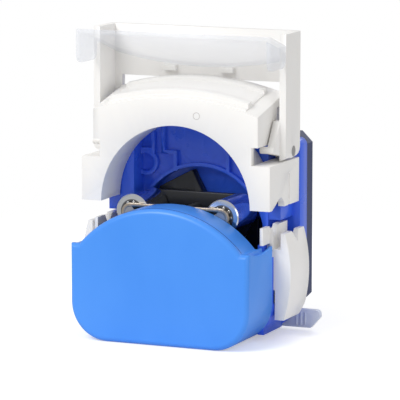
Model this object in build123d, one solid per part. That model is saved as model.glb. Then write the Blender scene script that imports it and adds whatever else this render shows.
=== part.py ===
from build123d import *
from math import cos, radians, sin, tan
import os

# Flip-top peristaltic pump head with three rollers, lid open and occlusion jaw raised.
# Millimetres, +X to the right, +Y to the rear, +Z up.
# The origin is where the drive axis meets the rear mounting face.

# --- datums -------------------------------------------------------------------------
DEPTH = 57.0                # front face of the cover to the rear mounting face
AXIS_HEIGHT = 35.5          # rotor axis above the base
WALL = 2.4                  # moulded wall
RUN_GAP = 0.4               # gap between parts that slide past each other
FIT = 0.03                  # radial clearance of seats that do not move
RUN_FIT = 0.05              # radial clearance of shafts and pins that turn

# --- cover and housing --------------------------------------------------------------
BODY_HALF_WIDTH = 35.0
CORNER_R = 14.0             # lower corners of cover and housing
LEDGE = 3.3                 # flat shoulder at each end of the cover's arch
ARCH_RISE = 14.5            # apex of the arch above the shoulders
ARCH_DEPTH = 14.9           # how far back the arched hood reaches
COVER_DEPTH = 23.3          # how far back the cover's side panels reach
FACE_ROUND = 2.0            # rounded edge of the cover's face
SCOOP = 1.6                 # hollow in the top edge of the side panels
PLATE_T = 5.5               # thickness of the mounting plate
FLANGE_THICKNESS = 7.0
PANEL_STANDOFF = 3.5        # rear panel in front of the flange
FLANGE_HALF_WIDTH = 37.4
FLANGE_HEIGHT = 72.0
FLANGE_CORNER_R = 16.0
OPENING_R = 25.0            # round opening of the rear panel
RIB_HEIGHT = 2.0            # ribs and rims in front of the rear panel
RIB = 1.3
SCREW_R = 1.5
SCREW_X = 22.0
SCREW_HEIGHT = 7.0
BOSS_X = -22.2              # hollow boss on the rear panel
BOSS_HEIGHT = 60.9
BOSS_R = 4.9
BOSS_BORE_R = 3.4
POCKET_X = -19.9            # upright edge of the pocket frame
POCKET_LOW = 64.5
POCKET_HEIGHT = 8.0
POCKET_REACH = 5.6
STEP_X = -15.8              # upright of the stepped rib
STEP_RISE = 10.1
STEP_END_X = -9.6
STEP_DROP = 6.2
RIGHT_RIB_X = 10.2
RIGHT_RIB_LOW = 58.5

# --- mounting plate -----------------------------------------------------------------
PLATE_BOTTOM = 9.0
PLATE_TOP = 73.5
PLATE_CHAMFER = 4.0
PLATE_BORE_R = 16.0
BOLT_SPACING_X = 50.0
BOLT_SPACING_Z = 40.0
BOLT_HOLE_R = 2.2
STUD_R = 3.0
STUD_X = 31.0
STUD_SPACING_Z = 26.0

# --- release latch ------------------------------------------------------------------
LATCH_BOTTOM = 1.2
LATCH_TOP = 8.0
LATCH_REACH = 44.0          # outer end of the tab from the drive axis
LATCH_INNER = 10.0
LATCH_THICKNESS = 2.5
LATCH_TRAVEL = 3.0
NOSE_WIDTH = 4.0

# --- rotor --------------------------------------------------------------------------
PITCH_R = 20.6              # rotor axis to roller axis
ROLLER_R = 6.4
ROLLER_BORE_R = 4.5
ROLLER_LENGTH = 18.3
ROLLER_BEARING_WIDTH = 4.0
END_FLOAT = 0.4             # roller end to rotor plate
AXLE_R = 2.0
FRONT_PLATE_T = 1.6
FRONT_LOBE_R = 3.4
REAR_PLATE_T = 2.5
REAR_LOBE_R = 5.7
POST_R = 2.5
POST_PITCH_R = 9.5
CLIP_T = 0.9
HUB_REACH = 22.5
HUB_HALF_WIDTH = 7.5
HUB_T = 4.0
HUB_TURN = 118.0            # first arm of the hub, degrees from +X
SHAFT_R = 6.0
NOSE_R = 3.0
DRIVE_BORE_R = 4.0
DRIVE_BORE_LENGTH = 20.0
KEYWAY = 2.0
BEARING_R = 9.5
BEARING_WIDTH = 4.5
BEARING_SPACE = 2.0
HUB_TUBE_R = 12.0

# --- occlusion jaw ------------------------------------------------------------------
JAW_FRONT = 15.3
JAW_HALF_WIDTH = 37.2
JAW_TOP_HALF_WIDTH = 32.5
LIFT = 13.3                 # how far the jaw is raised when the lid is open
JAW_LEG_BOTTOM = 49.3
STEP_HEIGHT = 65.5          # step between the wide and the narrow part
TRACK_R = 29.5
TRACK_CENTRE = 49.0         # height of the track's centre with the jaw raised
TRACK_WALL = 2.4
JAW_CROWN = 88.4            # top of the front edge at the middle
CROWN_R = 103.0
TOP_TILT = 13.0             # degrees that the top rises to the rear
BLOCK_HALF_WIDTH = 27.5     # raised block that stands in the lid's cut-out
BAR_RISE = 2.0
RAIL_RISE = 1.6
NOTCH_APEX = 53.0

# --- lid ----------------------------------------------------------------------------
PIVOT_BACK = 8.0            # pivot in front of the lid's rear face
PIVOT_HEIGHT = 68.8
PIN_R = 2.0
TOE_REACH = 13.0            # toe pin in front of the pivot
TOE_RISE = 1.6              # toe pin above the pivot
TOE_R = 1.3
ARM_T = 2.5
ARM_INNER = 35.7
ARM_AHEAD = 7.9             # arm's front edge in front of the pivot
LID_BOTTOM = 66.1
LID_TOP = 112.0
LID_WALL_BOTTOM = 93.0
VISOR_FRONT = 13.0
VISOR_TOP = 112.5
VISOR_T = 1.5
VISOR_ROOT_SIDE = 103.8
VISOR_ROOT_MIDDLE = 98.8
VISOR_FLANGE = 12.5         # height of the visor's side flanges

# --- towers that carry the lid pins -------------------------------------------------
TOWER_INNER = 24.0
TOWER_OUTER = 29.7
TOWER_BOSS_R = 3.6

# --- tube clamps --------------------------------------------------------------------
CLAMP_INNER = 32.2
CLAMP_PLATE_T = 2.2
CLAMP_PRONG_T = 1.2
CLAMP_OUTER = 41.5
CLAMP_FRONT = 25.0
CLAMP_REAR = 43.6
CLAMP_BOTTOM = 8.0
CLAMP_TOP = 40.0
CLAMP_TRAVEL = 4.5
PRONG_TOP = 42.5
PRONG_FRONT = 18.2
PRONG_BOTTOM = 36.2
V_BOTTOM = 38.4
V_DEPTH_AT = 27.5           # depth where the clamp's V is lowest
SPRING_R = 1.3
SPRING_WIRE_R = 0.3
SPRING_SEAT = 14.0
SPRING_LENGTH = 14.5
SPRING_TURNS = 6

# --- worked out from the values above -----------------------------------------------
SHOULDER = AXIS_HEIGHT
ARCH_HALF = BODY_HALF_WIDTH - LEDGE
ARCH_R = (ARCH_HALF ** 2 + ARCH_RISE ** 2) / (2 * ARCH_RISE)
ARCH_CENTRE = SHOULDER + ARCH_RISE - ARCH_R
FLANGE_REAR = DEPTH - PLATE_T
FLANGE_FRONT = FLANGE_REAR - FLANGE_THICKNESS
PANEL_FRONT = FLANGE_FRONT - PANEL_STANDOFF
JAW_REAR = FLANGE_FRONT - 0.5
JAW_TOP_REAR = JAW_REAR - 3.0
LID_REAR = FLANGE_FRONT - 0.5
PIVOT_DEPTH = LID_REAR - PIVOT_BACK
ARM_FRONT = PIVOT_DEPTH - ARM_AHEAD
TRACK_REAR = PIVOT_DEPTH - 4.0
ROTOR_FRONT = ARCH_DEPTH + 0.3
ROLLER_FRONT = ROTOR_FRONT + FRONT_PLATE_T + END_FLOAT
ROLLER_REAR = ROLLER_FRONT + ROLLER_LENGTH
REAR_PLATE_FRONT = ROLLER_REAR + END_FLOAT
REAR_PLATE_REAR = REAR_PLATE_FRONT + REAR_PLATE_T
HUB_FRONT = FLANGE_FRONT - RUN_GAP - HUB_T
ARM_OUTER = ARM_INNER + ARM_T
RECESS = CLAMP_INNER - RUN_GAP
CUTOUT_HALF = JAW_TOP_HALF_WIDTH + 0.3
ROLLER_ANGLES = (30, 150, 270)
SIDES = (-1, 1)


def y_at(depth):
    """Y of a point that lies this far behind the cover's front face."""
    return depth - DEPTH


def z_at(height):
    """Z of a point at this height above the base."""
    return height - AXIS_HEIGHT


def block(x0, x1, d0, d1, h0, h1):
    """Box between two X values, two depths and two heights."""
    place = Pos((x0 + x1) / 2, y_at((d0 + d1) / 2), z_at((h0 + h1) / 2))
    return place * Box(abs(x1 - x0), abs(d1 - d0), abs(h1 - h0))


def prism(face, d0, d1):
    """Face drawn in X and Z, carried from depth d0 back to depth d1."""
    plane = Plane(origin=(0, y_at(d0), 0), x_dir=(1, 0, 0), z_dir=(0, -1, 0))
    return extrude(plane * face, amount=d0 - d1)


def side_prism(points, x0, x1):
    """Outline of (depth, height) points, carried from x0 to x1."""
    outline = [(y_at(depth), z_at(height)) for depth, height in points]
    plane = Plane(origin=(x0, 0, 0), x_dir=(0, 1, 0), z_dir=(1, 0, 0))
    return extrude(plane * polygon(outline), amount=x1 - x0)


def polygon(points):
    """Flat face with straight sides."""
    return make_face(Polyline(*points, close=True))


def rod_y(radius, x, z, d0, d1):
    """Cylinder along the drive axis, from depth d0 to d1."""
    return Pos(x, y_at((d0 + d1) / 2), z) * Rot(90, 0, 0) * Cylinder(radius, abs(d1 - d0))


def tube_y(outer, inner, x, z, d0, d1):
    """Tube along the drive axis."""
    return rod_y(outer, x, z, d0, d1) - rod_y(inner, x, z, d0 - 1, d1 + 1)


def rod_x(radius, depth, height, x0, x1):
    """Cylinder along X."""
    place = Pos((x0 + x1) / 2, y_at(depth), z_at(height))
    return place * Rot(0, 90, 0) * Cylinder(radius, abs(x1 - x0))


def polar(radius, degrees):
    """X and Z of a point at this radius and angle about the rotor axis."""
    return radius * cos(radians(degrees)), radius * sin(radians(degrees))


def mirrored(shape):
    """The same shape on the other side of the middle plane."""
    return mirror(shape, about=Plane.YZ)


# --- cover --------------------------------------------------------------------------
def body_section(inset, top):
    """Section of cover and housing: flat base, large lower corners, upright sides."""
    half = BODY_HALF_WIDTH - inset
    bottom = z_at(inset)
    height = z_at(top) - bottom
    section = Pos(0, bottom + height / 2) * Rectangle(2 * half, height)
    return fillet(section.vertices().group_by(Axis.Y)[0], CORNER_R - inset)


def arch_section(inset):
    """Round top of the cover between its two shoulders."""
    disc = Pos(0, z_at(ARCH_CENTRE)) * Circle(ARCH_R - inset)
    low = z_at(SHOULDER) - CORNER_R / 2
    high = z_at(SHOULDER + ARCH_RISE) + 1
    window = Pos(0, (low + high) / 2) * Rectangle(2 * (BODY_HALF_WIDTH - inset), high - low)
    return disc & window


def make_front_cover():
    """Hood over the rotor's front with an arched top and two side panels."""
    hood = prism(body_section(0, SHOULDER) + arch_section(0), 0, ARCH_DEPTH)
    face_edges = hood.edges().group_by(Axis.Y)[0]
    hood = fillet(face_edges, FACE_ROUND)
    hood -= prism(body_section(WALL, SHOULDER - WALL) + arch_section(WALL), WALL, ARCH_DEPTH)
    panels = prism(body_section(0, SHOULDER), ARCH_DEPTH, COVER_DEPTH)
    panels -= prism(body_section(WALL, SHOULDER + WALL), ARCH_DEPTH, COVER_DEPTH)
    cover = hood + panels
    half_span = (COVER_DEPTH - 3.0) / 2
    scoop_r = (half_span ** 2 + SCOOP ** 2) / (2 * SCOOP)
    for side in SIDES:
        inner = side * (BODY_HALF_WIDTH - WALL)
        outer = side * BODY_HALF_WIDTH
        cover -= rod_x(scoop_r, COVER_DEPTH - half_span, SHOULDER + scoop_r - SCOOP,
                       inner + side * 0.6, outer + side)
        # rebate behind the clamp's front prong
        cover -= block(inner - side, side * (CLAMP_INNER + CLAMP_PRONG_T + RUN_GAP),
                       PRONG_FRONT - RUN_GAP, COVER_DEPTH + 1,
                       PRONG_BOTTOM - CLAMP_TRAVEL - RUN_GAP, SHOULDER + 1)
        cover += rod_y(SCREW_R + 2, side * SCREW_X, z_at(SCREW_HEIGHT), WALL, COVER_DEPTH)
        cover -= rod_y(SCREW_R + FIT, side * SCREW_X, z_at(SCREW_HEIGHT), WALL * 2, COVER_DEPTH + 1)
    return cover


def make_cover_screws():
    """Two screws that hold the cover from inside the housing."""
    head = COVER_DEPTH + WALL
    screws = []
    for side in SIDES:
        shank = rod_y(SCREW_R, side * SCREW_X, z_at(SCREW_HEIGHT), WALL * 3, head)
        cap = rod_y(SCREW_R * 1.8, side * SCREW_X, z_at(SCREW_HEIGHT), head, head + 2)
        screws.append(shank + cap)
    return Compound(screws)


# --- rear housing -------------------------------------------------------------------
def housing_side(side):
    """Inner side wall behind the clamp, with the spring ledge and the tower above it."""
    inner = side * (RECESS - WALL)
    wall = block(inner, side * RECESS, COVER_DEPTH, PANEL_FRONT, WALL, SHOULDER)
    tower = block(side * TOWER_INNER, side * TOWER_OUTER, PIVOT_DEPTH - TOWER_BOSS_R,
                  PANEL_FRONT, SHOULDER, PIVOT_HEIGHT)
    tower += rod_x(TOWER_BOSS_R, PIVOT_DEPTH, PIVOT_HEIGHT, side * TOWER_INNER, side * TOWER_OUTER)
    tower += block(side * (TOWER_OUTER - 1), side * (JAW_HALF_WIDTH - WALL - RUN_GAP),
                   PIVOT_DEPTH - 3, PANEL_FRONT, PRONG_TOP + 1, STEP_HEIGHT - WALL - LIFT - RUN_GAP)
    tower -= rod_y(PITCH_R + ROLLER_R + 1.2, 0, 0, 0, PANEL_FRONT)
    tower -= rod_x(PIN_R + FIT, PIVOT_DEPTH, PIVOT_HEIGHT,
                   side * (TOWER_INNER + WALL), side * (TOWER_OUTER + 1))
    return wall + tower


def panel_section():
    """Rear panel: wide below the jaw's step, narrow above it, arched at the top."""
    low_half = JAW_HALF_WIDTH - WALL - RUN_GAP
    low_top = z_at(STEP_HEIGHT - WALL - LIFT - RUN_GAP)
    low = Pos(0, (z_at(WALL) + low_top) / 2) * Rectangle(2 * (RECESS - WALL / 2), low_top - z_at(WALL))
    shelf = Pos(0, (z_at(PRONG_TOP + 1) + low_top) / 2)
    low += shelf * Rectangle(2 * low_half, low_top - z_at(PRONG_TOP + 1))
    crown = z_at(JAW_CROWN - LIFT + 1.9)
    disc = Pos(0, crown - CROWN_R) * Circle(CROWN_R)
    window = Pos(0, (low_top + crown) / 2) * Rectangle(2 * TOWER_OUTER, crown - low_top + 2)
    return low + (disc & window)


def panel_details():
    """Rim, boss, pocket frame and stepped ribs on the front of the rear panel."""
    front = PANEL_FRONT - RIB_HEIGHT
    details = prism(Circle(OPENING_R + RIB) - Circle(OPENING_R), front, PANEL_FRONT)
    details -= block(-50, 50, front - 1, PANEL_FRONT + 1, 0, AXIS_HEIGHT + 8)
    boss_x = BOSS_X
    boss_z = z_at(BOSS_HEIGHT)
    details += tube_y(BOSS_R, BOSS_BORE_R, boss_x, boss_z, front, PANEL_FRONT)
    low = POCKET_LOW
    high = low + POCKET_HEIGHT
    # frame of the square pocket, then the stepped rib, then the upright rib on the right
    details += block(POCKET_X, POCKET_X + RIB, front, PANEL_FRONT, low, high)
    details += block(POCKET_X - POCKET_REACH, POCKET_X, front, PANEL_FRONT, low + 0.5, low + 0.5 + RIB)
    details += block(STEP_X, STEP_X + RIB, front, PANEL_FRONT, low, low + STEP_RISE)
    details += block(STEP_X, STEP_END_X, front, PANEL_FRONT, low, low + RIB)
    details += block(STEP_END_X - RIB, STEP_END_X, front, PANEL_FRONT, low - STEP_DROP, low + 1)
    details += block(RIGHT_RIB_X, RIGHT_RIB_X + RIB, front, PANEL_FRONT, RIGHT_RIB_LOW,
                     RIGHT_RIB_LOW + POCKET_HEIGHT)
    return details


def make_rear_housing():
    """Tub behind the cover, rear panel with a round opening, bearing hub and flange."""
    tub = prism(body_section(0, SHOULDER), COVER_DEPTH, FLANGE_FRONT)
    tub -= prism(body_section(WALL, SHOULDER + 1), COVER_DEPTH - 1, FLANGE_FRONT)
    for side in SIDES:
        tub -= block(side * RECESS, side * (BODY_HALF_WIDTH + 1), COVER_DEPTH + 1.4,
                     FLANGE_FRONT, SPRING_SEAT, SHOULDER + 1)
        tub -= block(side * RECESS, side * (BODY_HALF_WIDTH + 1), COVER_DEPTH - 1,
                     COVER_DEPTH + 2, PRONG_BOTTOM - CLAMP_TRAVEL - RUN_GAP, SHOULDER + 1)
        tub += block(side * (RECESS - WALL), side * (BODY_HALF_WIDTH - WALL / 2), COVER_DEPTH,
                     FLANGE_FRONT, SPRING_SEAT - WALL, SPRING_SEAT)
        tub += housing_side(side)
        boss = rod_y(SCREW_R + 2, side * SCREW_X, z_at(SCREW_HEIGHT), COVER_DEPTH, COVER_DEPTH + WALL)
        tub += boss
        tub += block(side * SCREW_X - 1, side * SCREW_X + 1, COVER_DEPTH,
                     COVER_DEPTH + WALL, WALL / 2, SCREW_HEIGHT - SCREW_R - 1)
        tub -= rod_y(SCREW_R + FIT, side * SCREW_X, z_at(SCREW_HEIGHT), COVER_DEPTH - 1,
                     COVER_DEPTH + WALL + 1)
    panel = prism(panel_section(), PANEL_FRONT, FLANGE_FRONT)
    panel -= rod_y(OPENING_R, 0, 0, PANEL_FRONT - 1, FLANGE_FRONT)
    housing = tub + panel + panel_details()

    high = z_at(FLANGE_HEIGHT)
    low = z_at(0)
    outline = Pos(0, (high + low) / 2) * Rectangle(2 * FLANGE_HALF_WIDTH, high - low)
    outline = fillet(outline.vertices().group_by(Axis.Y)[0], FLANGE_CORNER_R)
    outline = fillet(outline.vertices().group_by(Axis.Y)[-1], 3.0)
    flange = prism(outline, FLANGE_FRONT, FLANGE_REAR)
    tray = prism(offset(outline, amount=-WALL), FLANGE_FRONT + WALL, FLANGE_REAR)
    tray -= block(-50, 50, FLANGE_FRONT, FLANGE_REAR, -1, PLATE_BOTTOM)
    flange -= tray
    for x, z in stud_places():
        flange += rod_y(STUD_R + WALL, x, z, FLANGE_FRONT + WALL, FLANGE_REAR)
    for spoke in (45, 90, 135, 225, 315):
        rib = block(HUB_TUBE_R - 1, 33, FLANGE_FRONT + WALL, FLANGE_REAR - 1,
                    AXIS_HEIGHT - RIB / 2, AXIS_HEIGHT + RIB / 2)
        flange += rib.rotate(Axis.Y, -spoke) & prism(outline, FLANGE_FRONT, FLANGE_REAR)
    for x, z in stud_places():
        flange -= rod_y(STUD_R + FIT, x, z, FLANGE_FRONT + WALL, FLANGE_REAR + 1)
    flange += rod_y(HUB_TUBE_R, 0, 0, FLANGE_FRONT, DEPTH - 0.6)
    flange -= rod_y(BEARING_R + FIT, 0, 0, FLANGE_FRONT + 0.5, DEPTH)
    flange -= rod_y(SHAFT_R + 1, 0, 0, FLANGE_FRONT - 1, FLANGE_REAR)
    # closed channel of the release latch, with a window for its nose
    middle = (FLANGE_FRONT + WALL + FLANGE_REAR) / 2
    flange -= block(LATCH_INNER - LATCH_TRAVEL - 1, LATCH_REACH, middle - LATCH_THICKNESS / 2 - 0.3,
                    middle + LATCH_THICKNESS / 2 + 0.3, LATCH_BOTTOM - 0.3, LATCH_TOP + 0.3)
    flange -= block(LATCH_INNER - LATCH_TRAVEL + 0.6, LATCH_INNER + NOSE_WIDTH + 4.4, middle,
                    FLANGE_REAR + 1, LATCH_TOP - 3.4, PLATE_BOTTOM + 1)
    return housing + flange


def stud_places():
    """Where the four mounting studs stand, as X and Z."""
    return [(x * STUD_X, STUD_SPACING_Z / 2 * z + 4) for x in SIDES for z in SIDES]


def make_mount_studs():
    """Four studs that key the head into the mounting plate."""
    studs = []
    for x, z in stud_places():
        stud = rod_y(STUD_R, x, z, FLANGE_FRONT + WALL, DEPTH - 1)
        studs.append(chamfer(stud.edges().group_by(Axis.Y)[-1], 0.5))
    return Compound(studs)


def make_mounting_plate():
    """Dark adapter plate that is bolted to the drive and carries the head."""
    height = PLATE_TOP - PLATE_BOTTOM
    outline = Pos(0, z_at(PLATE_BOTTOM + height / 2)) * Rectangle(2 * FLANGE_HALF_WIDTH, height)
    outline = chamfer(outline.vertices(), PLATE_CHAMFER)
    plate = prism(outline, FLANGE_REAR, DEPTH)
    plate -= rod_y(PLATE_BORE_R, 0, 0, FLANGE_REAR - 1, DEPTH + 1)
    for x, z in stud_places():
        plate -= rod_y(STUD_R + FIT, x, z, FLANGE_REAR - 1, DEPTH + 1)
    for x in SIDES:
        for z in SIDES:
            plate -= rod_y(BOLT_HOLE_R, x * BOLT_SPACING_X / 2, z * BOLT_SPACING_Z / 2,
                           FLANGE_REAR - 1, DEPTH + 1)
    plate -= block(LATCH_INNER - LATCH_TRAVEL + 0.6, LATCH_INNER + NOSE_WIDTH + 4.4,
                   FLANGE_REAR - 1, DEPTH + 1, PLATE_BOTTOM - 1, PLATE_BOTTOM + 3.6)
    return plate


def make_release_latch():
    """Flat sliding tab with three grip ribs and a nose that hooks the plate."""
    middle = (FLANGE_FRONT + WALL + FLANGE_REAR) / 2
    front = middle - LATCH_THICKNESS / 2
    rear = middle + LATCH_THICKNESS / 2
    outline = [
        (LATCH_INNER, z_at(LATCH_BOTTOM)),
        (LATCH_REACH - 3.6, z_at(LATCH_BOTTOM)),
        (LATCH_REACH, z_at(LATCH_BOTTOM + 4.2)),
        (LATCH_REACH, z_at(LATCH_TOP)),
        (LATCH_INNER, z_at(LATCH_TOP)),
    ]
    latch = prism(polygon(outline), front, rear)
    corner = latch.edges().filter_by(Axis.Y).sort_by(Axis.X)[-2:].sort_by(Axis.Z)[-1:]
    latch = fillet(corner, 1.6)
    for step in range(3):
        x = LATCH_REACH - 9.4 + 1.7 * step
        latch += block(x, x + 0.7, front - 0.3, front, LATCH_BOTTOM + 1, LATCH_TOP - 1)
    latch += block(LATCH_INNER + 4, LATCH_INNER + 4 + NOSE_WIDTH, middle, DEPTH - 3,
                   LATCH_TOP - 3, PLATE_BOTTOM + 3)
    return latch


# --- occlusion jaw ------------------------------------------------------------------
def crown_section(half, inset, bottom):
    """Flat section with upright sides and the jaw's arched top."""
    top = z_at(JAW_CROWN) - inset
    disc = Pos(0, top - CROWN_R) * Circle(CROWN_R)
    low = z_at(bottom)
    window = Pos(0, (top + low) / 2) * Rectangle(2 * half, top - low + 2)
    return disc & window


def tilted(section, d0, d1):
    """Section carried to the rear and upwards at the tilt of the jaw's top."""
    rise = (d0 - JAW_FRONT) * tan(radians(TOP_TILT))
    plane = Plane(origin=(0, y_at(d0), rise), x_dir=(1, 0, 0), z_dir=(0, -1, 0))
    direction = (0, cos(radians(TOP_TILT)), sin(radians(TOP_TILT)))
    return extrude(plane * section, amount=(d1 - d0) / cos(radians(TOP_TILT)), dir=direction)


def make_jaw():
    """Occlusion jaw: round track over the rollers, stepped outside, arched top."""
    above = STEP_HEIGHT - 14
    upper = tilted(crown_section(JAW_TOP_HALF_WIDTH, 0, above), JAW_FRONT, JAW_TOP_REAR)
    upper &= block(-50, 50, 0, JAW_TOP_REAR, STEP_HEIGHT, 120)
    inner = tilted(crown_section(JAW_TOP_HALF_WIDTH - WALL, WALL * 1.05, above - 20),
                   JAW_FRONT + WALL, JAW_TOP_REAR + 1)
    lower = block(-JAW_HALF_WIDTH, JAW_HALF_WIDTH, JAW_FRONT, JAW_REAR, JAW_LEG_BOTTOM, STEP_HEIGHT)
    hollow = JAW_HALF_WIDTH - WALL
    lower -= block(-hollow, hollow, JAW_FRONT + WALL, JAW_REAR + 1,
                   JAW_LEG_BOTTOM - 1, STEP_HEIGHT - WALL)
    jaw = upper + lower
    jaw -= inner & block(-50, 50, JAW_FRONT, JAW_TOP_REAR + 1, JAW_LEG_BOTTOM, 120)
    jaw -= block(-(JAW_TOP_HALF_WIDTH - WALL), JAW_TOP_HALF_WIDTH - WALL, JAW_TOP_REAR - 1,
                 JAW_REAR + 1, JAW_LEG_BOTTOM, STEP_HEIGHT + 1)

    track_z = z_at(TRACK_CENTRE)
    ring = tube_y(TRACK_R + TRACK_WALL, TRACK_R, 0, track_z, JAW_FRONT, TRACK_REAR)
    jaw += ring & block(-50, 50, JAW_FRONT, TRACK_REAR, JAW_LEG_BOTTOM, 120)
    jaw -= rod_y(TRACK_R, 0, track_z, JAW_FRONT - 1, TRACK_REAR + 1)

    bar = tilted(crown_section(BLOCK_HALF_WIDTH, -BAR_RISE, STEP_HEIGHT + 14), 18.4, 21.6)
    rail = tilted(crown_section(BLOCK_HALF_WIDTH, -RAIL_RISE, STEP_HEIGHT + 14), 33.6, 36.2)
    skin = tilted(crown_section(BLOCK_HALF_WIDTH, -0.5, STEP_HEIGHT + 14), 16.4, 36.2)
    hollow_top = tilted(crown_section(JAW_TOP_HALF_WIDTH, WALL * 0.8, above - 20),
                        JAW_FRONT + WALL, JAW_TOP_REAR + 1)
    jaw += (bar + rail + skin) - hollow_top

    for side in SIDES:
        wall_in = side * (JAW_TOP_HALF_WIDTH - WALL - 0.1)
        wall_out = side * (JAW_TOP_HALF_WIDTH + 0.1)
        # slot for the lid's toe, open to the front, and upright slot for the pivot pin
        jaw -= block(wall_in, wall_out, JAW_FRONT - 1, PIVOT_DEPTH + PIN_R + RUN_GAP,
                     STEP_HEIGHT, PIVOT_HEIGHT + TOE_RISE + TOE_R + RUN_GAP)
        jaw -= block(wall_in, wall_out, PIVOT_DEPTH - PIN_R - RUN_GAP,
                     PIVOT_DEPTH + PIN_R + RUN_GAP, STEP_HEIGHT, PIVOT_HEIGHT + LIFT + PIN_R + 0.6)
        leg = [
            (JAW_FRONT + WALL, JAW_LEG_BOTTOM - 1),
            (JAW_FRONT + WALL, JAW_LEG_BOTTOM),
            (25.2, NOTCH_APEX),
            (27.0, NOTCH_APEX),
            (29.5, JAW_LEG_BOTTOM + 1.5),
            (29.5, JAW_LEG_BOTTOM - 1),
        ]
        jaw -= side_prism(leg, side * (hollow - 0.2), side * (JAW_HALF_WIDTH + 0.2))
        # moulded groove down the rear of each leg
        jaw -= rod_x(0.9, 34.2, STEP_HEIGHT - 5.5, side * (JAW_HALF_WIDTH - 0.5),
                     side * (JAW_HALF_WIDTH + 1))
        jaw -= block(side * (JAW_HALF_WIDTH - 0.5), side * (JAW_HALF_WIDTH + 1), 33.3, 35.1,
                     JAW_LEG_BOTTOM - 1, STEP_HEIGHT - 5.5)
    return jaw


# --- lid ----------------------------------------------------------------------------
def lid_side(side):
    """Side arm of the lid with its pivot bore and the toe that drives the jaw."""
    arm = block(side * ARM_INNER, side * ARM_OUTER, ARM_FRONT, LID_REAR, LID_BOTTOM, LID_TOP)
    low_rear = arm.edges().filter_by(Axis.X).sort_by(Axis.Z)[:2].sort_by(Axis.Y)[-1:]
    arm = fillet(low_rear, 4.0)
    strip = block(side * CUTOUT_HALF, side * ARM_OUTER, LID_REAR - ARM_T, LID_REAR,
                  PIVOT_HEIGHT + 2, LID_TOP)
    arm += strip
    toe_depth = PIVOT_DEPTH - TOE_REACH
    toe_height = PIVOT_HEIGHT + TOE_RISE
    finger_in = side * (JAW_TOP_HALF_WIDTH + 0.7)
    finger_out = side * (ARM_INNER + 0.2)
    slope = [
        (toe_depth, toe_height - TOE_R),
        (toe_depth, toe_height + TOE_R),
        (PIVOT_DEPTH - 7.6, PIVOT_HEIGHT + 11.6),
        (PIVOT_DEPTH - 3.0, PIVOT_HEIGHT + 11.6),
        (PIVOT_DEPTH, PIVOT_HEIGHT + 2.8),
        (PIVOT_DEPTH, PIVOT_HEIGHT - 2.6),
    ]
    arm += side_prism(slope, finger_in, finger_out)
    arm += rod_x(TOE_R, toe_depth, toe_height, side * (JAW_TOP_HALF_WIDTH - WALL + 0.5), finger_out)
    arm += rod_x(PIN_R + 0.8, PIVOT_DEPTH, PIVOT_HEIGHT, finger_in, finger_out)
    arm -= rod_x(PIN_R + RUN_FIT, PIVOT_DEPTH, PIVOT_HEIGHT,
                 side * JAW_TOP_HALF_WIDTH, side * (ARM_OUTER + 1))
    return arm


def make_lid_frame():
    """White lid frame: two arms and a rear wall above a wide cut-out."""
    wall = block(-ARM_OUTER, ARM_OUTER, LID_REAR - ARM_T, LID_REAR, LID_WALL_BOTTOM, LID_TOP)
    lid = wall + lid_side(-1) + lid_side(1)
    rear_corners = lid.edges().filter_by(Axis.Z).group_by(Axis.Y)[-1]
    outer = rear_corners.filter_by(lambda e: abs(e.center().X) > ARM_OUTER - 0.1)
    lid = fillet(outer, 2.2)
    front = LID_REAR - ARM_T
    for x in (-13.0, 10.0):
        lid += block(x - 2.6, x + 2.6, front - 2.0, front, VISOR_ROOT_MIDDLE - 3.2,
                     VISOR_ROOT_MIDDLE - 1.2)
    return lid


def make_visor():
    """Clear visor: ruled sheet from a straight free edge to a curved root, with flanges."""
    half = ARM_OUTER
    top = z_at(VISOR_TOP)
    plane = Plane(origin=(0, y_at(VISOR_FRONT), 0), x_dir=(1, 0, 0), z_dir=(0, -1, 0))
    free = plane * (Pos(0, top - VISOR_T / 2) * Rectangle(2 * half, VISOR_T))
    side_z = z_at(VISOR_ROOT_SIDE)
    mid_z = z_at(VISOR_ROOT_MIDDLE)
    low = ThreePointArc((-half, side_z - VISOR_T), (0, mid_z - VISOR_T), (half, side_z - VISOR_T))
    high = ThreePointArc((half, side_z), (0, mid_z), (-half, side_z))
    right = Line((half, side_z - VISOR_T), (half, side_z))
    left = Line((-half, side_z), (-half, side_z - VISOR_T))
    root_depth = LID_REAR - ARM_T - FIT
    root_plane = Plane(origin=(0, y_at(root_depth), 0), x_dir=(1, 0, 0), z_dir=(0, -1, 0))
    root = root_plane * make_face([low, right, high, left])
    sheet = loft([free, root], ruled=True)
    flange_rear = ARM_FRONT - 0.3
    for side in SIDES:
        sheet -= block(side * (ARM_INNER - 0.3), side * (ARM_OUTER + 1), flange_rear,
                       LID_REAR, VISOR_TOP - 30, VISOR_TOP + 1)
        flange = block(side * (ARM_OUTER - VISOR_T), side * ARM_OUTER, VISOR_FRONT, flange_rear,
                       VISOR_TOP - VISOR_FLANGE, VISOR_TOP)
        lower_edges = flange.edges().filter_by(Axis.X).sort_by(Axis.Z)[:2]
        flange = fillet(lower_edges, 3.0)
        slope = [
            (VISOR_FRONT - 1, VISOR_TOP),
            (LID_REAR - ARM_T, VISOR_ROOT_SIDE),
            (LID_REAR - ARM_T, VISOR_TOP + 20),
            (VISOR_FRONT - 1, VISOR_TOP + 20),
        ]
        flange -= side_prism(slope, side * (ARM_OUTER - 2 * VISOR_T), side * (ARM_OUTER + 1))
        sheet += flange
    return sheet


def make_pivot_pins():
    """Pins in the housing's towers, on which the lid's arms turn."""
    pins = [rod_x(PIN_R, PIVOT_DEPTH, PIVOT_HEIGHT, side * (TOWER_INNER + WALL),
                  side * (ARM_OUTER - 0.2)) for side in SIDES]
    return Compound(pins)


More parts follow.
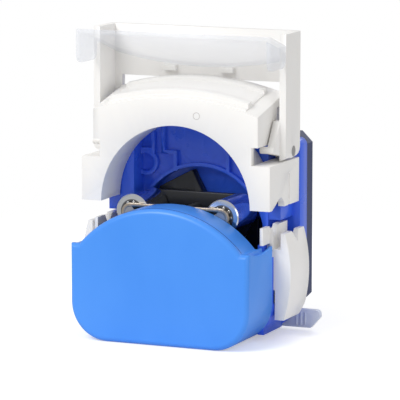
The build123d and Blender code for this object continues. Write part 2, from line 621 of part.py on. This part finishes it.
# --- tube clamps --------------------------------------------------------------------
def make_right_clamp():
    """Sprung tube clamp: inner V plate, outer thumb lever, slot between for the jaw's leg."""
    plate_out = CLAMP_INNER + CLAMP_PLATE_T
    core_bottom = SPRING_SEAT + CLAMP_TRAVEL + 0.5
    slot_floor = AXIS_HEIGHT - 1.5
    core = block(CLAMP_INNER, BODY_HALF_WIDTH + 1, CLAMP_FRONT, CLAMP_REAR, core_bottom, slot_floor)
    plate = block(CLAMP_INNER, plate_out, CLAMP_FRONT, 39.6, slot_floor, PRONG_TOP)
    prong = block(CLAMP_INNER, CLAMP_INNER + CLAMP_PRONG_T, PRONG_FRONT, CLAMP_FRONT,
                  PRONG_BOTTOM, PRONG_TOP)
    lever_in = BODY_HALF_WIDTH + RUN_GAP
    high_in = JAW_HALF_WIDTH + RUN_GAP
    belly = z_at((CLAMP_BOTTOM + CLAMP_TOP) / 2)
    back = Line((high_in, z_at(CLAMP_TOP)), (high_in, z_at(slot_floor)))
    step = Line((high_in, z_at(slot_floor)), (lever_in, z_at(slot_floor)))
    face = Line((lever_in, z_at(slot_floor)), (lever_in, z_at(CLAMP_BOTTOM)))
    foot = Line((lever_in, z_at(CLAMP_BOTTOM)), (CLAMP_OUTER - 2.6, z_at(CLAMP_BOTTOM)))
    outer = ThreePointArc((CLAMP_OUTER - 2.6, z_at(CLAMP_BOTTOM)), (CLAMP_OUTER, belly),
                          (CLAMP_OUTER - 2.2, z_at(CLAMP_TOP)))
    cap = Line((CLAMP_OUTER - 2.2, z_at(CLAMP_TOP)), (high_in, z_at(CLAMP_TOP)))
    lever = prism(make_face([back, step, face, foot, outer, cap]), CLAMP_FRONT, CLAMP_REAR)
    rear_low = [
        (CLAMP_REAR - 4, CLAMP_BOTTOM - 1),
        (CLAMP_REAR + 1, CLAMP_BOTTOM - 1),
        (CLAMP_REAR + 1, CLAMP_BOTTOM + 5),
    ]
    lever -= side_prism(rear_low, lever_in - 1, CLAMP_OUTER + 1)
    clamp = core + plate + prong + lever
    vee = [
        (V_DEPTH_AT, V_BOTTOM),
        (V_DEPTH_AT - 3.6, PRONG_TOP + 1),
        (V_DEPTH_AT + 4.4, PRONG_TOP + 1),
    ]
    clamp -= side_prism(vee, CLAMP_INNER - 1, plate_out + 0.5)
    lever_vee = [
        (V_DEPTH_AT + 7.4, CLAMP_TOP - 4.2),
        (V_DEPTH_AT + 3.6, CLAMP_TOP + 1),
        (V_DEPTH_AT + 11.4, CLAMP_TOP + 1),
    ]
    clamp -= side_prism(lever_vee, plate_out + 0.6, CLAMP_OUTER + 1)
    pocket_top = SPRING_SEAT + SPRING_LENGTH
    clamp -= spring_pocket(core_bottom - 1, pocket_top)
    return clamp


def spring_centre():
    """X and depth of the clamp spring's axis on the right side."""
    return CLAMP_INNER + SPRING_R + 0.5, (CLAMP_FRONT + CLAMP_REAR) / 2


def spring_pocket(bottom, top):
    """Blind hole that takes the upper part of the clamp spring."""
    x, depth = spring_centre()
    place = Pos(x, y_at(depth), z_at((bottom + top) / 2))
    return place * Cylinder(SPRING_R + 0.3, top - bottom)


def make_right_spring():
    """Compression spring under the clamp, between the housing's ledge and the pocket."""
    x, depth = spring_centre()
    mean_r = SPRING_R - SPRING_WIRE_R
    length = SPRING_LENGTH - 2 * SPRING_WIRE_R
    coil = Helix(pitch=length / SPRING_TURNS, height=length, radius=mean_r)
    start = Plane(origin=coil @ 0, z_dir=coil % 0)
    wire = sweep(start * Circle(SPRING_WIRE_R), path=coil)
    return Pos(x, y_at(depth), z_at(SPRING_SEAT + SPRING_WIRE_R)) * wire


# --- rotor --------------------------------------------------------------------------
def lobed_plate(lobe_r, d0, d1, bore_r):
    """Three-cornered plate round the axles, with bores for the shaft and the axles."""
    lobes = Sketch()
    for degrees in ROLLER_ANGLES:
        lobes += Pos(*polar(PITCH_R, degrees)) * Circle(lobe_r)
    plate = prism(make_hull(lobes.edges()), d0, d1)
    plate -= rod_y(bore_r, 0, 0, d0 - 1, d1 + 1)
    for degrees in ROLLER_ANGLES:
        plate -= rod_y(AXLE_R + FIT, *polar(PITCH_R, degrees), d0 - 1, d1 + 1)
    return plate


def make_rotor_hub():
    """Three square-ended arms on the shaft behind the rear plate."""
    middle = HUB_FRONT + HUB_T / 2
    hub = rod_y(SHAFT_R + 3, 0, 0, REAR_PLATE_REAR, HUB_FRONT + HUB_T)
    for step in range(3):
        arm = block(0, HUB_REACH, middle - HUB_T / 2, middle + HUB_T / 2,
                    AXIS_HEIGHT - HUB_HALF_WIDTH, AXIS_HEIGHT + HUB_HALF_WIDTH)
        hub += arm.rotate(Axis.Y, -(HUB_TURN + 120 * step))
    return hub - rod_y(SHAFT_R + FIT, 0, 0, REAR_PLATE_REAR - 1, DEPTH)


def make_shaft():
    """Hollow drive shaft with a keyed bore at the rear and a threaded nose in front."""
    shaft = rod_y(SHAFT_R, 0, 0, ROTOR_FRONT + FRONT_PLATE_T, DEPTH)
    shaft += rod_y(NOSE_R, 0, 0, ROTOR_FRONT - 2.2, ROTOR_FRONT + FRONT_PLATE_T)
    shaft -= rod_y(DRIVE_BORE_R, 0, 0, DEPTH - DRIVE_BORE_LENGTH, DEPTH + 1)
    key = block(-KEYWAY / 2, KEYWAY / 2, DEPTH - DRIVE_BORE_LENGTH, DEPTH + 1,
                AXIS_HEIGHT, AXIS_HEIGHT + DRIVE_BORE_R + 0.9)
    return shaft - key


def make_nut():
    """Hexagon nut that holds the rotor on the shaft's nose."""
    outline = RegularPolygon(5.2, 6)
    nut = prism(outline, ROTOR_FRONT - 2.0, ROTOR_FRONT)
    return nut - rod_y(NOSE_R + FIT, 0, 0, ROTOR_FRONT - 3, ROTOR_FRONT + 1)


def make_posts():
    """Three posts that tie the two rotor plates together."""
    posts = []
    for degrees in ROLLER_ANGLES:
        x, z = polar(POST_PITCH_R, degrees + 60)
        posts.append(rod_y(POST_R, x, z, ROTOR_FRONT + FRONT_PLATE_T, REAR_PLATE_FRONT))
    return Compound(posts)


def make_axles():
    """Three roller axles through both rotor plates."""
    rear = REAR_PLATE_REAR + CLIP_T
    return Compound([rod_y(AXLE_R, *polar(PITCH_R, degrees), ROTOR_FRONT, rear)
                     for degrees in ROLLER_ANGLES])


def make_clips():
    """Retaining clips on the axles behind the rear plate."""
    rear = REAR_PLATE_REAR + CLIP_T
    clips = []
    for degrees in ROLLER_ANGLES:
        x, z = polar(PITCH_R, degrees)
        ring = tube_y(AXLE_R + 1.2, AXLE_R + FIT, x, z, REAR_PLATE_REAR, rear)
        mouth = block(x - 0.9, x + 0.9, REAR_PLATE_REAR - 1, rear + 1,
                      z + AXIS_HEIGHT, z + AXIS_HEIGHT + 4)
        clips.append(ring - mouth)
    return Compound(clips)


def make_roller(degrees):
    """Polished roller tube with a small chamfer at each end."""
    x, z = polar(PITCH_R, degrees)
    roller = rod_y(ROLLER_R, x, z, ROLLER_FRONT, ROLLER_REAR)
    ends = roller.edges().filter_by(GeomType.CIRCLE)
    roller = chamfer(ends, 0.4)
    return roller - rod_y(ROLLER_BORE_R, x, z, ROLLER_FRONT - 1, ROLLER_REAR + 1)


def make_roller_bearings(degrees):
    """Two bearings pressed into the ends of one roller."""
    x, z = polar(PITCH_R, degrees)
    outer = ROLLER_BORE_R - FIT
    inner = AXLE_R + RUN_FIT
    front = tube_y(outer, inner, x, z, ROLLER_FRONT, ROLLER_FRONT + ROLLER_BEARING_WIDTH)
    rear = tube_y(outer, inner, x, z, ROLLER_REAR - ROLLER_BEARING_WIDTH, ROLLER_REAR)
    return Compound([front, rear])


FIRST_BEARING = FLANGE_FRONT + 0.5
SECOND_BEARING = FIRST_BEARING + BEARING_WIDTH + BEARING_SPACE


def make_main_bearing(front):
    """Ball bearing of the drive shaft, as its outline."""
    return tube_y(BEARING_R, SHAFT_R + RUN_FIT, 0, 0, front, front + BEARING_WIDTH)


parts = {
    "front_cover": make_front_cover(),
    "cover_screws": make_cover_screws(),
    "rear_housing": make_rear_housing(),
    "mounting_plate": make_mounting_plate(),
    "mount_studs": make_mount_studs(),
    "release_latch": make_release_latch(),
    "occlusion_jaw": make_jaw(),
    "lid_frame": make_lid_frame(),
    "lid_visor": make_visor(),
    "lid_pivot_pins": make_pivot_pins(),
    "tube_clamp_right": make_right_clamp(),
    "tube_clamp_left": mirrored(make_right_clamp()),
    "clamp_spring_right": make_right_spring(),
    "clamp_spring_left": mirrored(make_right_spring()),
    "rotor_front_plate": lobed_plate(FRONT_LOBE_R, ROTOR_FRONT, ROTOR_FRONT + FRONT_PLATE_T, NOSE_R + FIT),
    "rotor_rear_plate": lobed_plate(REAR_LOBE_R, REAR_PLATE_FRONT, REAR_PLATE_REAR, SHAFT_R + FIT),
    "rotor_hub": make_rotor_hub(),
    "rotor_posts": make_posts(),
    "rotor_nut": make_nut(),
    "roller_axles": make_axles(),
    "axle_clips": make_clips(),
    "drive_shaft": make_shaft(),
    "main_bearing_front": make_main_bearing(FIRST_BEARING),
    "main_bearing_rear": make_main_bearing(SECOND_BEARING),
    "bearing_spacer": tube_y(BEARING_R, BEARING_R - 1.5, 0, 0, FIRST_BEARING + BEARING_WIDTH, SECOND_BEARING),
}
for number, degrees in enumerate(ROLLER_ANGLES, start=1):
    parts[f"roller_{number}"] = make_roller(degrees)
    parts[f"roller_{number}_bearings"] = make_roller_bearings(degrees)

os.makedirs("parts", exist_ok=True)
for name, shape in parts.items():
    export_step(shape, f"parts/{name}.step")
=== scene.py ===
from math import cos, radians, sin

import bpy
import numpy as np
from mathutils import Matrix, Vector


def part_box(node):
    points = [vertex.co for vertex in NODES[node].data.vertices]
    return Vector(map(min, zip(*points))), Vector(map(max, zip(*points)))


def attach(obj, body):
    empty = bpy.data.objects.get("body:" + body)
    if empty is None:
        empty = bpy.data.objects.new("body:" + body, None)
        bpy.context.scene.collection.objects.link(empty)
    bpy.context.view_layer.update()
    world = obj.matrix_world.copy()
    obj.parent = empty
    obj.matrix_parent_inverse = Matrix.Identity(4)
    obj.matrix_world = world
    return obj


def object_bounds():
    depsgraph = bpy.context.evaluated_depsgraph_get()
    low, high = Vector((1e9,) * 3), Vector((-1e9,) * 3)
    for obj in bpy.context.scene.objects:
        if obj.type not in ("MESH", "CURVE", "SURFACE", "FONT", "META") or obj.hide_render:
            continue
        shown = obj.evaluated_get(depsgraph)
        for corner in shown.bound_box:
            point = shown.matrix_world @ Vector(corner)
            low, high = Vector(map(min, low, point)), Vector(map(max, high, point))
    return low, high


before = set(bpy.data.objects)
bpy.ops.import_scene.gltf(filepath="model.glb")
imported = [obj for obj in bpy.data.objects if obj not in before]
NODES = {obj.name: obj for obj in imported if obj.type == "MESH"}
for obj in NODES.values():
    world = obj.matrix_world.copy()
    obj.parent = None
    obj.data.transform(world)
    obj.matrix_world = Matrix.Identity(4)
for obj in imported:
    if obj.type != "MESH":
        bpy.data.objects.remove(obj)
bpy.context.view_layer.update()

# Looks of the flip-top peristaltic pump head. Metres, in the frame's own axes:
# the drive axis is the origin, +Y runs to the rear and +Z up.
MM = 0.001


# --- node trees -----------------------------------------------------------------------
def new_material(name):
    """Empty material with a Principled surface; gives its tree and the surface node."""
    material = bpy.data.materials.new(name)
    material.use_nodes = True
    tree = material.node_tree
    surface = tree.nodes["Principled BSDF"]
    return material, tree, surface


def add(tree, kind, **values):
    """Node of this kind, with its properties or input values set by name."""
    node = tree.nodes.new(kind)
    for key, value in values.items():
        if key in node.inputs:
            node.inputs[key].default_value = value
        else:
            setattr(node, key, value)
    return node


def noise(tree, scale, detail=3.0, stretch=(1.0, 1.0, 1.0)):
    """Noise on Object coordinates, stretched along the axes."""
    place = add(tree, "ShaderNodeTexCoord")
    mapping = add(tree, "ShaderNodeMapping")
    mapping.inputs["Scale"].default_value = stretch
    texture = add(tree, "ShaderNodeTexNoise", Scale=scale, Detail=detail)
    tree.links.new(place.outputs["Object"], mapping.inputs["Vector"])
    tree.links.new(mapping.outputs["Vector"], texture.inputs["Vector"])
    return texture


def ramp(tree, source, low, high, start=0.3, end=0.7):
    """Colour ramp from low to high between two positions of the source."""
    node = add(tree, "ShaderNodeValToRGB")
    node.color_ramp.elements[0].position = start
    node.color_ramp.elements[1].position = end
    node.color_ramp.elements[0].color = (*low, 1)
    node.color_ramp.elements[1].color = (*high, 1)
    tree.links.new(source, node.inputs["Fac"])
    return node.outputs["Color"]


def spread(tree, source, low, high):
    """Value mapped from 0..1 to low..high."""
    node = add(tree, "ShaderNodeMapRange")
    node.inputs["To Min"].default_value = low
    node.inputs["To Max"].default_value = high
    tree.links.new(source, node.inputs["Value"])
    return node.outputs["Result"]


def bump(tree, surface, source, strength, distance):
    """Bump on the surface from a height."""
    node = add(tree, "ShaderNodeBump", Strength=strength, Distance=distance)
    tree.links.new(source, node.inputs["Height"])
    tree.links.new(node.outputs["Normal"], surface.inputs["Normal"])


def moulded(name, low, high, rough, grain=1400.0, grain_depth=0.00002, coat=0.0, sheen_through=0.0):
    """Moulded plastic: slight colour flow, uneven gloss and a fine grain."""
    material, tree, surface = new_material(name)
    flow = noise(tree, 26.0, 4.0, (1.0, 1.0, 0.5))
    tree.links.new(ramp(tree, flow.outputs["Fac"], low, high), surface.inputs["Base Color"])
    patches = noise(tree, 90.0, 5.0)
    tree.links.new(spread(tree, patches.outputs["Fac"], rough - 0.05, rough + 0.07),
                   surface.inputs["Roughness"])
    bump(tree, surface, noise(tree, grain, 2.0).outputs["Fac"], 0.35, grain_depth)
    surface.inputs["Specular IOR Level"].default_value = 0.45
    if coat:
        surface.inputs["Coat Weight"].default_value = coat
        surface.inputs["Coat Roughness"].default_value = 0.12
    if sheen_through:
        surface.inputs["Subsurface Weight"].default_value = sheen_through
        surface.inputs["Subsurface Scale"].default_value = 0.002
        surface.inputs["Subsurface Radius"].default_value = (1.0, 0.9, 0.8)
    return material


def turned(name, low, high, rough, direction=(1.0, 60.0, 1.0), depth=0.000004):
    """Metal with fine lines left by turning or rolling."""
    material, tree, surface = new_material(name)
    lines = noise(tree, 60.0, 4.0, direction)
    tree.links.new(ramp(tree, lines.outputs["Fac"], low, high), surface.inputs["Base Color"])
    tree.links.new(spread(tree, lines.outputs["Fac"], rough, rough + 0.12), surface.inputs["Roughness"])
    bump(tree, surface, lines.outputs["Fac"], 0.25, depth)
    surface.inputs["Metallic"].default_value = 1.0
    return material


def clear_plastic(name):
    """Clear polished visor: a thin pale tint that shows what is behind, with bright reflections."""
    material, tree, surface = new_material(name)
    surface.inputs["Base Color"].default_value = (0.85, 0.88, 0.95, 1)
    surface.inputs["Alpha"].default_value = 0.26
    surface.inputs["IOR"].default_value = 1.49
    flow = noise(tree, 18.0, 2.0, (0.4, 1.0, 1.0))
    tree.links.new(spread(tree, flow.outputs["Fac"], 0.02, 0.08), surface.inputs["Roughness"])
    bump(tree, surface, flow.outputs["Fac"], 0.12, 0.0004)
    return material


BLUE = moulded("blue_moulding", (0.060, 0.29, 0.90), (0.080, 0.33, 0.95), 0.34)
# rear housing: a darker copy of the blue moulding, painted shade for its shadowed interior
SHADED_BLUE = moulded("shaded_blue_moulding", (0.028, 0.115, 0.80), (0.045, 0.15, 0.88), 0.28, coat=0.25)
WHITE = moulded("white_moulding", (0.90, 0.885, 0.86), (0.94, 0.925, 0.90), 0.31, sheen_through=0.05)
NAVY = moulded("navy_plate", (0.022, 0.034, 0.105), (0.03, 0.045, 0.13), 0.48, 900.0, 0.00006)
# release latch: white plastic coloured in the lavender grey of its shaded faces, which is painted
# shade; the light passing through it is real
SHADE_TINTED_WHITE = moulded("pale_latch", (0.60, 0.66, 0.83), (0.68, 0.73, 0.88), 0.35, sheen_through=0.3)
BLACK = moulded("black_rotor", (0.008, 0.009, 0.012), (0.016, 0.018, 0.024), 0.30)
POLISHED = turned("polished_steel", (0.62, 0.64, 0.67), (0.78, 0.80, 0.83), 0.10)
BRIGHT = turned("turned_steel", (0.34, 0.34, 0.35), (0.50, 0.495, 0.49), 0.27)
PLATE_STEEL = turned("rolled_plate", (0.40, 0.34, 0.27), (0.56, 0.48, 0.39), 0.28, (30.0, 1.0, 1.0))
BEARING_STEEL = turned("bearing_steel", (0.13, 0.13, 0.135), (0.24, 0.24, 0.24), 0.24)
WIRE = turned("spring_wire", (0.40, 0.41, 0.43), (0.55, 0.56, 0.58), 0.24)
CLEAR = clear_plastic("clear_visor")

FINISH = {
    "front_cover": BLUE, "rear_housing": SHADED_BLUE, "cover_screws": BRIGHT,
    "mounting_plate": NAVY, "mount_studs": BRIGHT, "release_latch": SHADE_TINTED_WHITE,
    "occlusion_jaw": WHITE, "lid_frame": WHITE, "lid_visor": CLEAR,
    "lid_pivot_pins": BRIGHT, "tube_clamp_right": WHITE, "tube_clamp_left": WHITE,
    "clamp_spring_right": WIRE, "clamp_spring_left": WIRE, "rotor_front_plate": PLATE_STEEL,
    "rotor_rear_plate": BLACK, "rotor_hub": BLACK, "rotor_posts": BLACK, "rotor_nut": BRIGHT,
    "roller_axles": BRIGHT, "axle_clips": WIRE, "drive_shaft": BRIGHT,
    "main_bearing_front": POLISHED, "main_bearing_rear": POLISHED, "bearing_spacer": BRIGHT,
    "roller_1": POLISHED, "roller_2": POLISHED, "roller_3": POLISHED,
    "roller_1_bearings": BEARING_STEEL, "roller_2_bearings": BEARING_STEEL,
    "roller_3_bearings": BEARING_STEEL,
}

# rounded edge of each moulded node, in metres
EDGE = {
    "front_cover": 0.0005, "rear_housing": 0.00035, "occlusion_jaw": 0.0006, "lid_frame": 0.0005,
    "tube_clamp_right": 0.0006, "tube_clamp_left": 0.0006, "release_latch": 0.00025,
    "lid_visor": 0.0003, "rotor_front_plate": 0.00015,
    "rotor_rear_plate": 0.0003, "rotor_hub": 0.0004,
}


def dress(name, material):
    """Gives a node its finish, smooth curved faces and, where moulded, rounded edges."""
    node = NODES[name]
    node.data.materials.clear()
    node.data.materials.append(material)
    node.data.polygons.foreach_set("use_smooth", np.ones(len(node.data.polygons), bool))
    weld = node.modifiers.new("join", "WELD")
    weld.merge_threshold = 0.000002
    if name in EDGE:
        rounding = node.modifiers.new("rounding", "BEVEL")
        rounding.width = EDGE[name]
        rounding.segments = 2
        rounding.limit_method = "ANGLE"
        rounding.angle_limit = radians(32)
        rounding.harden_normals = True
        rounding.use_clamp_overlap = True
    else:
        split = node.modifiers.new("creases", "EDGE_SPLIT")
        split.split_angle = radians(32)


for node_name, finish in FINISH.items():
    dress(node_name, finish)


# --- fine detail ----------------------------------------------------------------------
SEAM = moulded("cover_seam", (0.012, 0.05, 0.30), (0.018, 0.07, 0.36), 0.5)
CAGE = moulded("bearing_cage", (0.02, 0.021, 0.024), (0.045, 0.046, 0.05), 0.42)
MARK = moulded("mould_mark", (0.55, 0.53, 0.50), (0.62, 0.60, 0.57), 0.45)
COVER_ARCH_R = 41.9 * MM
COVER_ARCH_HALF_SPAN = 31.4 * MM
SEAM_BACK = 3.0 * MM        # seam behind the cover's face
SEAM_WIDTH = 0.45 * MM
SEAM_HEIGHT = 0.12 * MM
SEAM_STEPS = 120
SEAM_SIDES = 12
BALLS = 9                   # in each roller bearing
BALL_SIDES = 14
BALL_STEPS = 6
CAGE_STEPS = 72
CAGE_SIDES = 10
MARK_X = 8.6 * MM           # mould mark on the jaw's front
MARK_Z = 47.0 * MM
MARK_R = 1.25 * MM
MARK_STEPS = 40
MARK_SIDES = 8


def make_piece(name, points, faces, material, body):
    """Mesh piece with smooth faces that moves with a body."""
    mesh = bpy.data.meshes.new(name)
    mesh.from_pydata([tuple(float(c) for c in p) for p in points], [], faces)
    mesh.polygons.foreach_set("use_smooth", np.ones(len(mesh.polygons), bool))
    mesh.materials.append(material)
    piece = bpy.data.objects.new(name, mesh)
    bpy.context.scene.collection.objects.link(piece)
    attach(piece, body)


def loops_to_faces(rows, columns, offset=0, close_rows=False):
    """Quads between rows of points, each row a closed loop of columns."""
    faces = []
    last = rows if close_rows else rows - 1
    for i in range(last):
        for j in range(columns):
            a = offset + i * columns + j
            b = offset + i * columns + (j + 1) % columns
            c = offset + ((i + 1) % rows) * columns + (j + 1) % columns
            d = offset + ((i + 1) % rows) * columns + j
            faces.append((a, b, c, d))
    return faces


def make_cover_seam():
    """Seam over the hood: a low rounded section carried along the arch.

    At angle t from the top the path is centre + R (sin t, cos t), and the section is an
    ellipse 0.45 mm wide along the depth and 0.12 mm high along the radius.
    """
    low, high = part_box("front_cover")
    centre = high.z - COVER_ARCH_R
    reach = np.arcsin(COVER_ARCH_HALF_SPAN / COVER_ARCH_R)
    section = np.linspace(0, 2 * np.pi, SEAM_SIDES, endpoint=False)
    points = []
    for t in np.linspace(-reach, reach, SEAM_STEPS):
        radius = COVER_ARCH_R + SEAM_HEIGHT / 2 * np.sin(section)
        points.extend(zip(radius * np.sin(t), low.y + SEAM_BACK + SEAM_WIDTH / 2 * np.cos(section),
                          centre + radius * np.cos(t)))
    make_piece("cover_seam", points, loops_to_faces(SEAM_STEPS, SEAM_SIDES), SEAM, "housing")


def make_bearing_face(number):
    """Cage and balls seen in the front end of one roller.

    The cage is a shallow ring with a rounded section turned about the roller's axis. The
    balls are domes at equal angles on the ring's middle circle: height = h cos(q) at
    distance w sin(q) from the dome's centre, for q from 0 to a quarter turn.
    """
    low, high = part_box("roller_%d_bearings" % number)
    x, z = (low.x + high.x) / 2, (low.z + high.z) / 2
    outer = (high.x - low.x) / 2
    middle, half = outer * 0.76, outer * 0.15
    turn = np.linspace(0, 2 * np.pi, CAGE_STEPS, endpoint=False)
    points = []
    for q in np.linspace(0, 2 * np.pi, CAGE_SIDES, endpoint=False):
        radius = middle + half * np.cos(q)
        depth = np.full(CAGE_STEPS, low.y + 0.02 * MM * np.sin(q))
        points.extend(zip(x + radius * np.cos(turn), depth, z + radius * np.sin(turn)))
    body = "roller_%d" % number
    faces = loops_to_faces(CAGE_SIDES, CAGE_STEPS, 0, True)
    make_piece("roller_%d_cage" % number, points, faces, CAGE, body)
    points, faces = [], []
    around = np.linspace(0, 2 * np.pi, BALL_SIDES, endpoint=False)
    for k in range(BALLS):
        t = 2 * np.pi * k / BALLS
        offset = len(points)
        for q in np.linspace(0.03, np.pi / 2, BALL_STEPS):
            w = half * 0.86 * np.sin(q)
            depth = np.full(BALL_SIDES, low.y - 0.02 * MM - 0.06 * MM * np.cos(q))
            points.extend(zip(x + middle * cos(t) + w * np.cos(around), depth,
                              z + middle * sin(t) + w * np.sin(around)))
        faces.extend(loops_to_faces(BALL_STEPS, BALL_SIDES, offset))
        faces.append(tuple(range(offset, offset + BALL_SIDES)))
    make_piece("roller_%d_balls" % number, points, faces, POLISHED, body)


def make_ring_mark(name, x, z, y, radius, body):
    """Shallow ring left by the mould: a rounded section turned about an axis along the depth.

    At angle t the section's centre is (x + r cos t, z + r sin t), and the section is an
    ellipse 0.24 mm across and 0.08 mm deep, half sunk in the face.
    """
    turn = np.linspace(0, 2 * np.pi, MARK_STEPS, endpoint=False)
    points = []
    for q in np.linspace(0, 2 * np.pi, MARK_SIDES, endpoint=False):
        r = radius + 0.12 * MM * np.cos(q)
        points.extend(zip(x + r * np.cos(turn), np.full(MARK_STEPS, y + 0.04 * MM * np.sin(q)),
                          z + r * np.sin(turn)))
    faces = loops_to_faces(MARK_SIDES, MARK_STEPS, 0, True)
    make_piece(name, points, faces, MARK, body)


make_cover_seam()
make_ring_mark("jaw_ring_mark", MARK_X, MARK_Z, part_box("occlusion_jaw")[0].y, MARK_R, "jaw")
for roller_number in (1, 2, 3):
    make_bearing_face(roller_number)


# --- camera ---------------------------------------------------------------------------
AZIMUTH = 23.3              # degrees to the right of the front
ELEVATION = 9.0
DISTANCE = 1.126
FOCAL = 3080.0              # in picture widths of 400
PICTURE = 400.0
AIM = Vector((0.0, -0.032, 0.0205))
AIM_SHIFT = (14.7, -16.3)   # how far the aim lies right of and above the point AIM


def make_camera():
    """Long-lens camera to the right of and slightly above the front."""
    a = radians(AZIMUTH)
    e = radians(ELEVATION)
    back = Vector((sin(a) * cos(e), -cos(a) * cos(e), sin(e)))
    right = Vector((cos(a), sin(a), 0))
    up = right.cross(-back) * -1
    if up.z < 0:
        up = -up
    scale = DISTANCE / FOCAL
    target = AIM + right * (AIM_SHIFT[0] * scale) + up * (AIM_SHIFT[1] * scale)
    data = bpy.data.cameras.new("camera")
    data.sensor_width = 36.0
    data.lens = FOCAL / PICTURE * 36.0
    data.clip_end = 20.0
    camera = bpy.data.objects.new("camera", data)
    turn = Matrix((right, up, back)).transposed().to_4x4()
    camera.matrix_world = Matrix.Translation(target + back * DISTANCE) @ turn
    bpy.context.scene.collection.objects.link(camera)
    bpy.context.scene.camera = camera


# --- floor, light and background ----------------------------------------------------------
FLOOR_FADE = (0.10, 0.26)   # distance from the drive axis where the floor starts and ends fading


def make_floor():
    """White floor that keeps the soft shadow under the object."""
    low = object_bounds()[0]
    size = 3.0
    mesh = bpy.data.meshes.new("floor")
    corners = [(-size, -size, low.z), (size, -size, low.z), (size, size, low.z), (-size, size, low.z)]
    mesh.from_pydata(corners, [], [(0, 1, 2, 3)])
    floor = bpy.data.objects.new("floor", mesh)
    bpy.context.scene.collection.objects.link(floor)
    material, tree, surface = new_material("white_floor")
    surface.inputs["Base Color"].default_value = (0.82, 0.82, 0.84, 1)
    surface.inputs["Roughness"].default_value = 0.9
    glow = add(tree, "ShaderNodeEmission", Strength=0.42)
    path = add(tree, "ShaderNodeLightPath")
    blend = add(tree, "ShaderNodeMixShader")
    both = add(tree, "ShaderNodeAddShader")
    dark = add(tree, "ShaderNodeEmission", Strength=0.0)
    tree.links.new(path.outputs["Is Camera Ray"], blend.inputs["Fac"])
    tree.links.new(dark.outputs[0], blend.inputs[1])
    tree.links.new(glow.outputs[0], blend.inputs[2])
    tree.links.new(surface.outputs[0], both.inputs[0])
    tree.links.new(blend.outputs[0], both.inputs[1])
    # the floor fades out round the object, so that the white surroundings show beyond it
    place = add(tree, "ShaderNodeTexCoord")
    reach = add(tree, "ShaderNodeVectorMath", operation="LENGTH")
    fade = add(tree, "ShaderNodeMapRange")
    fade.inputs["From Min"].default_value = FLOOR_FADE[0]
    fade.inputs["From Max"].default_value = FLOOR_FADE[1]
    clear = add(tree, "ShaderNodeBsdfTransparent")
    faded = add(tree, "ShaderNodeMixShader")
    tree.links.new(place.outputs["Object"], reach.inputs[0])
    tree.links.new(reach.outputs["Value"], fade.inputs["Value"])
    tree.links.new(fade.outputs["Result"], faded.inputs["Fac"])
    tree.links.new(both.outputs[0], faded.inputs[1])
    tree.links.new(clear.outputs[0], faded.inputs[2])
    tree.links.new(faded.outputs[0], tree.nodes["Material Output"].inputs["Surface"])
    mesh.materials.append(material)


def area_light(name, place, size, power, aim=(0.0, -0.03, 0.01)):
    """Soft square lamp turned towards the object."""
    data = bpy.data.lights.new(name, "AREA")
    data.size = size
    data.energy = power
    lamp = bpy.data.objects.new(name, data)
    lamp.location = place
    lamp.rotation_euler = (Vector(aim) - Vector(place)).to_track_quat("-Z", "Y").to_euler()
    bpy.context.scene.collection.objects.link(lamp)


def make_light():
    """Even white surroundings with a large soft key lamp, a fill lamp and a rim lamp."""
    world = bpy.data.worlds.new("studio")
    bpy.context.scene.world = world
    world.use_nodes = True
    tree = world.node_tree
    background = tree.nodes["Background"]
    background.inputs["Color"].default_value = (1, 1, 1, 1)
    path = add(tree, "ShaderNodeLightPath")
    level = add(tree, "ShaderNodeMapRange")
    level.inputs["To Min"].default_value = 0.54
    level.inputs["To Max"].default_value = 1.0
    tree.links.new(path.outputs["Is Camera Ray"], level.inputs["Value"])
    tree.links.new(level.outputs["Result"], background.inputs["Strength"])
    area_light("key", (-0.35, -0.75, 0.75), 0.5, 6.4)
    area_light("fill", (0.9, -0.5, 0.35), 0.6, 1.7)
    area_light("rim", (0.1, 0.8, 0.7), 0.5, 3.0)


bpy.context.scene.view_settings.view_transform = "Standard"
make_camera()
make_floor()
make_light()
